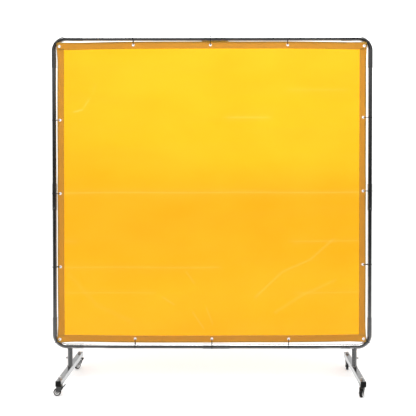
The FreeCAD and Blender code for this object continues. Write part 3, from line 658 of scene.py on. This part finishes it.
# light and dark colour, lowest and highest roughness, and the grain's features a metre
PLASTICS = {
    "black_plastic": (grey(0.006), grey(0.003), 0.42, 0.55, 1200),
    "caster_tread": (grey(0.013), grey(0.008), 0.55, 0.72, 1200),
    "caster_hub": (grey(0.80, 0.01), grey(0.68, 0.01), 0.36, 0.48, 1200),
    "brake_pedal": (grey(0.030), grey(0.018), 0.42, 0.55, 1200),
    "black_nylon": (grey(0.014), grey(0.008), 0.34, 0.46, 700),
}
# light, deep and pale colour (the pale one for whitened folds and painted sheen), transmission, and lowest
# and highest roughness
VINYLS = {
    "amber_vinyl": ((1.0, 0.48, 0.013), (1.0, 0.45, 0.009), (1.0, 0.72, 0.20), 0.88, 0.16, 0.24),
    "amber_vinyl_hem": ((0.71, 0.49, 0.05), (0.69, 0.47, 0.038), (0.9, 0.7, 0.2), 0.80, 0.40, 0.48),
}
FINISHES = {
    name: make(name, *look)
    for make, looks in ((steel_finish, STEELS), (plastic_finish, PLASTICS), (vinyl_finish, VINYLS))
    for name, look in looks.items()
}

CAD_SLOTS = {
    "elbow_stub": "brushed_steel_posts",
    "elbow": "polished_steel_fittings",
    "sleeve": "polished_steel_fittings",
    "side_tube": "polished_steel_tube",
    "top_rail": "polished_steel_tube",
    "bottom_rail": "polished_steel_tube",
    "snap_button": "button_steel",
    "button_springs": "spring_steel",
    "post_weld_nuts": "zinc_hardware",
    "post_lock_bolts": "zinc_hardware",
    "post": "brushed_steel_posts",
    "foot_end_caps": "black_plastic",
    "foot": "polished_steel_feet",
    "caster": "zinc_hardware",
    "fork": "caster_steel",
    "axle": "zinc_hardware",
    "tyre": "caster_tread",
    "hub": "caster_hub",
    "brake_pedal": "brake_pedal",
}


def dress_cad_nodes():
    """Gives each CAD node that stays its material."""
    for name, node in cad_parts.items():
        prefix = next((p for p in CAD_SLOTS if name.startswith(p)), None)
        if prefix is None:
            continue
        node.data.materials.clear()
        node.data.materials.append(FINISHES[CAD_SLOTS[prefix]])
        node.data.polygons.foreach_set("material_index", [0] * len(node.data.polygons))


# ---- the curtain --------------------------------------------------------------------------

def solid_sheet(piece):
    """Gives a sheet's middle surface its thickness."""
    layer = piece.modifiers.new("thickness", "SOLIDIFY")
    layer.thickness = SHEET_THICKNESS
    layer.offset = 0


def sheet_points():
    """Flat points of the sheet, closer together at its holes, folds, wrinkles and corners."""
    inset = LAYER / 2 + HEM_RETURN
    low_x, high_x = sheet_low.x + inset, sheet_high.x - inset
    low_z, high_z = sheet_low.z + inset, sheet_high.z - inset
    columns = np.linspace(low_x, high_x, round((high_x - low_x) / SHEET_GRID) + 1)
    rows = np.linspace(low_z, high_z, round((high_z - low_z) / SHEET_GRID) + 1)
    points = [(x, z) for x in columns for z in (low_z, high_z)]
    points += [(x, z) for x in (low_x, high_x) for z in rows[1:-1]]
    radii = (GROMMET_BARREL, GROMMET_FLANGE, GROMMET_SURROUND)
    for flat in grommet_flats:
        rings = [p for radius in radii for p in ring_points(flat, radius)]
        points += without_near(points, rings, RING_GAP)
    fine = []
    for height, start, end, _ in CREASES:
        for x in np.arange(max(start, low_x + SHEET_GRID), min(end, high_x - SHEET_GRID), SHEET_GRID):
            middle = height + CREASE_WANDER * math.sin(x * CREASE_WANDER_RATE)
            fine += [(x, middle + k * CREASE_WIDTH / 2) for k in range(-5, 6)]
    for path, _, width, _ in WRINKLES:
        for (ax, az), (bx, bz) in zip(path, path[1:]):
            length = math.hypot(bx - ax, bz - az)
            side_x, side_z = -(bz - az) / length, (bx - ax) / length
            for t in np.linspace(0, 1, max(2, round(length / WRINKLE_STEP))):
                x, z = ax + t * (bx - ax), az + t * (bz - az)
                fine += [(x + side_x * k * width / 3, z + side_z * k * width / 3) for k in range(-5, 6)]
    points += without_near(points, fine, FOLD_GAP)
    steps = np.arange(CORNER_STEP, CORNER_REACH, CORNER_STEP)
    for right, top in CORNER_PULL:
        corner_x, corner_z = (high_x if right > 0 else low_x), (high_z if top > 0 else low_z)
        patch = [(corner_x - right * a, corner_z - top * b) for a in steps for b in steps]
        points += without_near(points, patch, CORNER_GAP)
    grid = [(x, z) for x in columns[1:-1] for z in rows[1:-1]]
    return points + without_near(points, grid, GRID_GAP)


def make_sheet():
    """The clear sheet, with its whitened folds and painted sheen as a mesh attribute."""
    flat, faces = triangles_between(sheet_points(), grommet_flats, GROMMET_BARREL)
    points = hang(flat[:, 0], flat[:, 1])
    piece = new_piece("vinyl_sheet", points, faces, FINISHES["amber_vinyl"])
    whitening_and_sheen = piece.data.attributes.new(HAZE_AND_SHEEN, "FLOAT", "POINT")
    # stores the whitened folds and painted sheen at each point
    whitening_and_sheen.data.foreach_set("value", haze_and_sheen(flat[:, 0], flat[:, 1]))
    solid_sheet(piece)
    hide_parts("curtain_sheet")
    return piece


def hem_section(run, width):
    """(distance inward from the sheet's edge, depth) of the middle surface of a hem of a width.

    run goes along the unfolded hem: up from 0 on the front leaf, and below 0 round the fold.
    """
    fold_radius = LAYER / 2
    fold_length = math.pi * fold_radius
    turn = np.clip(-run / fold_radius, 0, math.pi)
    inward = fold_radius * (1 - np.sin(turn)) + np.clip(run, 0, None) + np.clip(-run - fold_length, 0, None)
    depth = -fold_radius * (1 + np.cos(turn))
    seam = (run - (width - SEAM_FROM_INNER_EDGE)) / (SEAM_WIDTH / 2)
    return inward, depth + SEAM_DEPTH * np.exp(-seam ** 2)


def hem_strip(side):
    """One edge's hem as points and faces, folded over to the front of the sheet.

    The side hems end under the top and bottom ones, which step up over them.
    """
    vertical = side in ("left", "right")
    width = HEM_WIDTHS[side]
    low, high = (sheet_low.z, sheet_high.z) if vertical else (sheet_low.x, sheet_high.x)
    edge = {"left": sheet_low.x, "right": sheet_high.x, "bottom": sheet_low.z, "top": sheet_high.z}[side]
    inward = 1 if side in ("left", "bottom") else -1
    fold_length = math.pi * LAYER / 2
    if vertical:
        low += HEM_WIDTHS["bottom"] - HEM_LAP
        high -= HEM_WIDTHS["top"] - HEM_LAP
    columns = np.linspace(low, high, round((high - low) / HEM_STEP))
    seam_at = width - SEAM_FROM_INNER_EDGE
    runs = [-fold_length - HEM_RETURN, *np.linspace(-fold_length, 0, 5)]
    runs += HEM_FINE_RUNS
    runs += [seam_at + k * SEAM_WIDTH / 3 for k in range(-3, 4)] + [width]
    holes = []
    for x, z in grommet_flats:
        across, along = (x, z) if vertical else (z, x)
        distance = inward * (across - edge) - LAYER / 2
        if distance < width and low < along < high:
            holes.append((along, distance))
    rings = [p for hole in holes for r in (GROMMET_BARREL, GROMMET_FLANGE) for p in ring_points(hole, r)]
    grid = [(t, run) for t in columns for run in runs]
    grid = without_near(rings, grid, RING_GAP)
    grid = [p for p in grid if all(math.hypot(p[0] - h[0], p[1] - h[1]) > GROMMET_FLANGE for h in holes)]
    flat, faces = triangles_between(rings + grid, holes, GROMMET_BARREL)
    along, run = flat[:, 0], flat[:, 1]
    distance, depth = hem_section(run, width)
    if not vertical:
        from_end = np.minimum(along - low, high - along)
        step_up = smooth((EDGE_ZONE + STEP_UP_START - from_end) / STEP_UP_LENGTH)
        depth = depth - LAYER * step_up * smooth(run / STEP_UP_FROM_FOLD)
    across = edge + inward * distance
    points = hang(across, along, depth) if vertical else hang(along, across, depth)
    return list(points), faces


def make_hem():
    """The four hems as one piece."""
    points, faces = join_parts([hem_strip(side) for side in ("left", "right", "bottom", "top")])
    piece = new_piece("curtain_hem_folded", points, faces, FINISHES["amber_vinyl_hem"])
    solid_sheet(piece)
    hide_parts("curtain_hem")
    return piece


def make_grommets():
    """Rolled eyelets in front with their washers behind, pressed through the hem."""
    parts = []
    for flat in grommet_flats:
        front = -(LAYER * (2 if is_corner(flat) else 1) + SHEET_THICKNESS / 2)
        back = SHEET_THICKNESS / 2
        crest_r = (GROMMET_HOLE + GROMMET_FLANGE) / 2
        half = (GROMMET_FLANGE - GROMMET_HOLE) / 2
        roll = [(crest_r + half * c, front + GROMMET_ROLL * s) for c, s in arc((0, 0), 1, -180, 0, 12)]
        washer = [(GROMMET_BARREL, back), (GROMMET_FLANGE - WASHER_RIM, back),
                  (GROMMET_FLANGE - WASHER_CHAMFER, back + GROMMET_WASHER * 0.6),
                  (GROMMET_BARREL + WASHER_SLOPE_END, back + GROMMET_WASHER),
                  (GROMMET_BARREL + WASHER_COLLAR, back + GROMMET_WASHER * 1.5),
                  (GROMMET_HOLE, back + GROMMET_WASHER)]
        profile = roll + [(GROMMET_BARREL, front)] + washer
        parts.append(turned(seat_at(flat), profile, 36))
    points, faces = join_parts(parts)
    piece = new_piece("rolled_grommets", points, faces, FINISHES["grommet_metal"])
    sharpen(piece, 50)
    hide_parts("grommets")
    return piece


# ---- cable ties ---------------------------------------------------------------------------

def tie_anchor(centre, flat):
    """(the tube's middle beside a grommet, the way out to it, that tube's radius)."""
    if is_corner(flat):
        arc_x = math.copysign(SIDE_X - BEND_RADIUS, centre[0])
        arc_z = TOP_Z - BEND_RADIUS if centre[2] > (TOP_Z + BOTTOM_Z) / 2 else BOTTOM_Z + BEND_RADIUS
        outward = Vector((centre[0] - arc_x, 0, centre[2] - arc_z)).normalized()
        return Vector((arc_x, 0, arc_z)) + outward * BEND_RADIUS, outward, FITTING_R
    tubes = [Vector((-SIDE_X, 0, centre[2])), Vector((SIDE_X, 0, centre[2])),
             Vector((centre[0], 0, TOP_Z)), Vector((centre[0], 0, BOTTOM_Z))]
    flat_centre = Vector((centre[0], 0, centre[2]))
    middle = min(tubes, key=lambda tube: (tube - flat_centre).length)
    on_fitting = any(all(low[k] <= middle[k] <= high[k] for k in range(3))
                     for low, high in map(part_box, FITTINGS))
    return middle, (middle - flat_centre).normalized(), FITTING_R if on_fitting else TUBE_R


def belt(big_radius, small_centre, small_radius):
    """The closed line drawn tight round a circle at the origin and a small one."""
    distance = math.hypot(*small_centre)
    facing = math.degrees(math.atan2(small_centre[1], small_centre[0]))
    opening = math.degrees(math.acos((big_radius - small_radius) / distance))
    line = arc((0, 0), big_radius, facing + opening, facing + 360 - opening, 40)
    start, end = Vector(line[-1]), Vector(arc(small_centre, small_radius, facing - opening, 0, 1)[0])
    straight = [tuple(start.lerp(end, k / 6)) for k in range(1, 6)]
    line += straight + arc(small_centre, small_radius, facing - opening, facing + opening, 10)
    start, end = Vector(line[-1]), Vector(line[0])
    return line + [tuple(start.lerp(end, k / 6)) for k in range(1, 6)]


def strap_section(width, thickness):
    """A flat strap's outline with rounded edges, as (across, outward) points."""
    a, b, r = width / 2, thickness / 2, thickness * STRAP_ROUNDING
    right = [(a - r, -b), (a, r - b), (a, b - r), (a - r, b)]
    return right + [(-across, -out) for across, out in right]


def strap(line, frame_of, closed):
    """A strap along a line of (inward, back) points."""
    count = len(line)
    rings = []
    for i, (s, y) in enumerate(line):
        before = line[(i - 1) % count] if closed or i else line[i]
        after = line[(i + 1) % count] if closed or i < count - 1 else line[i]
        run = Vector((after[0] - before[0], after[1] - before[1])).normalized()
        out_s, out_y = run.y, -run.x
        rings.append([frame_of @ Vector((s + out_s * h, y + out_y * h, w))
                      for w, h in strap_section(TIE_WIDTH, TIE_THICKNESS)])
    return loft(rings, closed)


def tie_head(frame_of, seat_y):
    """The ratchet head: a bevelled block with recesses on its back and where the tail comes out."""
    long, high, wide = TIE_HEAD
    block = bmesh.new()
    bmesh.ops.create_cube(block, size=1.0)
    bmesh.ops.scale(block, vec=(long, high, wide), verts=block.verts)
    block.faces.ensure_lookup_table()
    outer = [max(block.faces, key=lambda f: f.calc_center_median().y),
             min(block.faces, key=lambda f: f.calc_center_median().x)]
    for face in outer:
        bmesh.ops.inset_region(block, faces=[face], thickness=HEAD_RECESS_RIM)
        bmesh.ops.translate(block, vec=-face.normal * HEAD_RECESS_DEPTH, verts=face.verts)
    rim = [e for e in block.edges if e.calc_face_angle(0) > 1.0 and e.calc_length() > 4 * MM]
    bmesh.ops.bevel(block, geom=rim, offset=HEAD_BEVEL, segments=3, affect="EDGES", profile=0.5)
    place = Matrix.Translation((0, seat_y + high / 2, 0))
    block.verts.index_update()
    points = [frame_of @ place @ v.co for v in block.verts]
    faces = [[v.index for v in face.verts] for face in block.faces]
    block.free()
    return points, faces


def cable_tie(flat):
    """One tie round the tube and through its grommet, its head behind the tube."""
    middle, outward, radius = tie_anchor(seat_at(flat).translation, flat)
    inward = -outward
    back = Vector((0, 1, 0))
    side = inward.cross(back)
    frame_of = Matrix((inward, back, side)).transposed().to_4x4()
    frame_of.translation = middle
    hole = frame_of.inverted() @ seat_at(flat).translation
    slack = TIE_CORNER_SLACK if is_corner(flat) else 0
    big_radius = radius + slack + TIE_CLEARANCE + TIE_THICKNESS / 2
    small_radius = TIE_EYE + TIE_THICKNESS / 2
    line = belt(big_radius, (hole.x - small_radius, hole.y), small_radius)
    head_base = big_radius - TIE_THICKNESS * HEAD_SINK
    tail_y = head_base + TIE_HEAD[1] * 0.5
    tail_start = -TIE_HEAD[0] / 2 + 1 * MM
    tail = [(tail_start - TIE_TAIL * k / 5, tail_y + TIE_TAIL_LIFT * (k / 5) ** 2) for k in range(6)]
    parts = [strap(line, frame_of, True), strap(tail, frame_of, False), tie_head(frame_of, head_base)]
    return join_parts(parts)


def make_ties():
    """A tie at each grommet, as one piece."""
    parts = [cable_tie(flat) for flat in grommet_flats]
    points, faces = join_parts(parts)
    piece = new_piece("nylon_ties", points, faces, FINISHES["black_nylon"])
    sharpen(piece, 40)
    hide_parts("cable_ties")
    return piece


# ---- weld beads ---------------------------------------------------------------------------

def weld_bead(name, path_point):
    """A rippled bead along a closed path. path_point gives the place at an angle."""
    steps = BEAD_RIPPLES * 6
    rings = []
    for i in range(steps):
        angle = 2 * math.pi * i / steps
        out = Vector((math.cos(angle), math.sin(angle), 0))
        ripple = BEAD_RIPPLE_HEIGHT * math.sin(BEAD_RIPPLES * angle)
        swell = BEAD_SWELL_HEIGHT * math.sin(BEAD_SWELLS * angle + 1)
        size = 1 + ripple + swell
        rings.append([path_point(angle) + (out * c + Vector((0, 0, s))) * BEAD_RADIUS * size
                      for c, s in arc((0, 0), 1, 0, 360, 12)[:-1]])
    points, faces = loft(rings, closed=True)
    new_piece(name, points, faces, FINISHES["weld_steel"])


def make_welds():
    """The beads round each post's base and where each stub meets its elbow."""
    for side in ("left", "right"):
        low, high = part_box("post_" + side)
        middle_x, base_z = (low.x + high.x) / 2, low.z
        post_r = (high.y - low.y) / 2

        def at_base(angle):
            reach = post_r + BEAD_RADIUS * BASE_STANDOFF
            return Vector((middle_x + reach * math.cos(angle), reach * math.sin(angle), base_z + BASE_RISE))

        def at_saddle(angle):
            reach = TUBE_R + BEAD_RADIUS * SADDLE_STANDOFF
            y = reach * math.sin(angle)
            height = math.sqrt(FITTING_R ** 2 - min(y ** 2, (SADDLE_LIMIT * FITTING_R) ** 2))
            return Vector((middle_x + reach * math.cos(angle), y, BOTTOM_Z - height - SADDLE_DROP))

        weld_bead("weld_post_" + side, at_base)
        weld_bead("weld_stub_" + side, at_saddle)


# ---- studio -------------------------------------------------------------------------------

CAMERA_PLACE = (0.110, -3.541, 1.307)
CAMERA_SENSOR_MM = 36
CAMERA_LENS_MM = 53.67
CAMERA_PITCH = math.radians(-0.77)
CAMERA_YAW = math.radians(0.29)
CAMERA_SHIFT = (-0.0484, -0.1111)


def make_camera():
    data = bpy.data.cameras.new("camera")
    data.sensor_width = CAMERA_SENSOR_MM
    data.lens = CAMERA_LENS_MM
    data.shift_x, data.shift_y = CAMERA_SHIFT
    data.clip_end = 200
    camera = bpy.data.objects.new("camera", data)
    camera.location = CAMERA_PLACE
    camera.rotation_euler = (math.pi / 2 + CAMERA_PITCH, 0, CAMERA_YAW)
    bpy.context.scene.collection.objects.link(camera)
    bpy.context.scene.camera = camera


def coordinates(nodes, links, kind):
    """The point or direction that is shaded: whole, and its X, Y and Z."""
    place = nodes.new("ShaderNodeTexCoord").outputs[kind]
    parts = nodes.new("ShaderNodeSeparateXYZ")
    links.new(place, parts.inputs[0])
    return place, parts.outputs


def level_at(nodes, links, share, stops):
    """The level at a share of the way along (share, level) stops."""
    ramp = ramp_node(nodes, [(place, grey(level)) for place, level in stops])
    links.new(share, ramp.inputs["Fac"])
    return ramp.outputs["Color"]


def step_node(nodes, links, value, start, end, low=0.0, high=1.0):
    """A smooth step from low at start to high at end."""
    made = nodes.new("ShaderNodeMapRange")
    made.interpolation_type = "SMOOTHSTEP"
    made.inputs["From Min"].default_value = start
    made.inputs["From Max"].default_value = end
    made.inputs["To Min"].default_value = low
    made.inputs["To Max"].default_value = high
    links.new(value, made.inputs["Value"])
    return made.outputs["Result"]


def mix_node(nodes, links, factor, first, second):
    """The first level where factor is 0 and the second where it is 1."""
    mix = nodes.new("ShaderNodeMix")
    mix.data_type = "FLOAT"
    for name, socket in (("Factor", factor), ("A", first), ("B", second)):
        links.new(socket, mix.inputs[name])
    return mix.outputs["Result"]


def math_node(nodes, links, operation, *values, clamp=False):
    """A math node between sockets or numbers."""
    made = nodes.new("ShaderNodeMath")
    made.operation = operation
    made.use_clamp = clamp
    for socket, value in zip(made.inputs, values):
        if isinstance(value, bpy.types.NodeSocket):
            links.new(value, socket)
        else:
            socket.default_value = value
    return made.outputs[0]


def mirrored(nodes, links):
    """1 for reflections, 0 for light that comes straight, through the sheet or from matt surfaces."""
    path = nodes.new("ShaderNodeLightPath")
    through = math_node(nodes, links, "SUBTRACT", 1.0, path.outputs["Is Transmission Ray"])
    return math_node(nodes, links, "MULTIPLY", path.outputs["Is Glossy Ray"], through)


BACKDROP_LEVEL = 1.06
BACKDROP_GLOW = 0.68
GLOW_DIRECTION = (0.02, 0.96, 0.27)
GLOW_ANGLE = math.radians(34)
# the studio's dark front half comes in as a direction's Y falls from the first to the second
FRONT_START = 0.42
FRONT_FULL = 0.18
# what polished metal sees in the dark front half of the studio, by the height of its direction
FRONT_LEVELS = [
    (0.50, 0.012), (0.53, 0.04), (0.555, 0.12), (0.585, 0.17), (0.62, 0.08), (0.66, 0.035),
    (0.78, 0.06), (0.87, 0.14), (0.93, 0.5), (0.98, 1.0),
]
# the same for the back half, which dims a little above the screen
BACK_LEVELS = [(0.54, 1.0), (0.60, 0.62), (0.72, 0.60), (0.85, 0.9)]


def make_world():
    """A white studio, brightest behind the screen. Reflections see its dark front half."""
    world = bpy.data.worlds.new("studio")
    bpy.context.scene.world = world
    world.use_nodes = True
    nodes, links = world.node_tree.nodes, world.node_tree.links
    background = next(n for n in nodes if n.type == "BACKGROUND")
    background.inputs["Color"].default_value = (1, 1, 1, 1)
    direction, parts = coordinates(nodes, links, "Generated")
    glow = nodes.new("ShaderNodeVectorMath")
    glow.operation = "DOT_PRODUCT"
    links.new(direction, glow.inputs[0])
    glow.inputs[1].default_value = Vector(GLOW_DIRECTION).normalized()
    direct = step_node(nodes, links, glow.outputs["Value"], math.cos(GLOW_ANGLE), 1.0,
                       BACKDROP_LEVEL, BACKDROP_LEVEL + BACKDROP_GLOW)
    reflected = mirrored(nodes, links)
    height = math_node(nodes, links, "MULTIPLY_ADD", parts["Z"], 0.5, 0.5)
    back = mix_node(nodes, links, reflected, direct, level_at(nodes, links, height, BACK_LEVELS))
    in_front = step_node(nodes, links, parts["Y"], FRONT_START, FRONT_FULL)
    mask = math_node(nodes, links, "MULTIPLY", in_front, reflected)
    strength = mix_node(nodes, links, mask, back, level_at(nodes, links, height, FRONT_LEVELS))
    links.new(strength, background.inputs["Strength"])


FLOOR_SIZE = 60.0
FLOOR_LIFT = 0.18
# how bright the floor looks in reflections, by the share of FLOOR_REACH in front of the screen
FLOOR_REACH = 6.0
FLOOR_LEVELS = [
    (0.0, 1.0), (0.01, 0.30), (0.10, 0.27), (0.18, 0.21), (0.27, 0.12), (0.35, 0.07), (0.87, 0.014),
]
# the curtain's shade under and just behind it, as reflections see it
SHADE_HALF_WIDTH = 0.63
SHADE_BACK = 0.60
SHADE_EDGE = 0.08
SHADE_LEVEL = 0.20


def make_floor():
    """A plain white floor. Reflections see it darken towards the camera's side."""
    half = FLOOR_SIZE / 2
    mesh = bpy.data.meshes.new("floor")
    corners = [(-half, -half, 0), (half, -half, 0), (half, half, 0), (-half, half, 0)]
    mesh.from_pydata(corners, [], [(0, 1, 2, 3)])
    floor = bpy.data.objects.new("floor", mesh)
    bpy.context.scene.collection.objects.link(floor)
    paint = bpy.data.materials.new("floor_paint")
    paint.use_nodes = True
    nodes, links = paint.node_tree.nodes, paint.node_tree.links
    shader = next(n for n in nodes if n.type == "BSDF_PRINCIPLED")
    shader.inputs["Base Color"].default_value = (0.93, 0.93, 0.93, 1)
    shader.inputs["Roughness"].default_value = 0.9
    shader.inputs["Specular IOR Level"].default_value = 0.0
    shader.inputs["Emission Color"].default_value = (1, 1, 1, 1)
    shader.inputs["Emission Strength"].default_value = FLOOR_LIFT
    _, parts = coordinates(nodes, links, "Object")
    ahead = math_node(nodes, links, "MULTIPLY", parts["Y"], -1 / FLOOR_REACH, clamp=True)
    aside = math_node(nodes, links, "ABSOLUTE", parts["X"])
    shade = math_node(
        nodes, links, "MULTIPLY",
        step_node(nodes, links, aside, SHADE_HALF_WIDTH + SHADE_EDGE, SHADE_HALF_WIDTH),
        step_node(nodes, links, parts["Y"], SHADE_BACK + SHADE_EDGE, SHADE_BACK))
    lit = math_node(nodes, links, "MULTIPLY_ADD", shade, SHADE_LEVEL - 1, 1)
    lowest = math_node(nodes, links, "MINIMUM", level_at(nodes, links, ahead, FLOOR_LEVELS), lit)
    seen = nodes.new("ShaderNodeEmission")
    links.new(lowest, seen.inputs["Strength"])
    mix = nodes.new("ShaderNodeMixShader")
    links.new(mirrored(nodes, links), mix.inputs["Fac"])
    links.new(shader.outputs[0], mix.inputs[1])
    links.new(seen.outputs[0], mix.inputs[2])
    output = next(n for n in nodes if n.type == "OUTPUT_MATERIAL")
    links.new(mix.outputs[0], output.inputs["Surface"])
    mesh.materials.append(paint)


OVERHEAD_PLACE = Vector((0, -0.9, 3.6))
OVERHEAD_TARGET = Vector((0, 0, 1.0))
OVERHEAD_SIZE = (3.0, 1.4)
OVERHEAD_WATTS = 60


def make_overhead_light():
    """One wide soft light, above and a little in front of the screen."""
    data = bpy.data.lights.new("overhead", "AREA")
    data.shape = "RECTANGLE"
    data.size, data.size_y = OVERHEAD_SIZE
    data.energy = OVERHEAD_WATTS
    lamp = bpy.data.objects.new("overhead", data)
    lamp.location = OVERHEAD_PLACE
    lamp.rotation_euler = (OVERHEAD_TARGET - OVERHEAD_PLACE).to_track_quat("-Z", "Y").to_euler()
    bpy.context.scene.collection.objects.link(lamp)


# ---- the scene ----------------------------------------------------------------------------

make_camera()
make_world()
make_floor()
make_overhead_light()

dress_cad_nodes()
sheet = make_sheet()
hem = make_hem()
grommets = make_grommets()
ties = make_ties()
make_welds()

bpy.context.scene.view_settings.view_transform = "Standard"
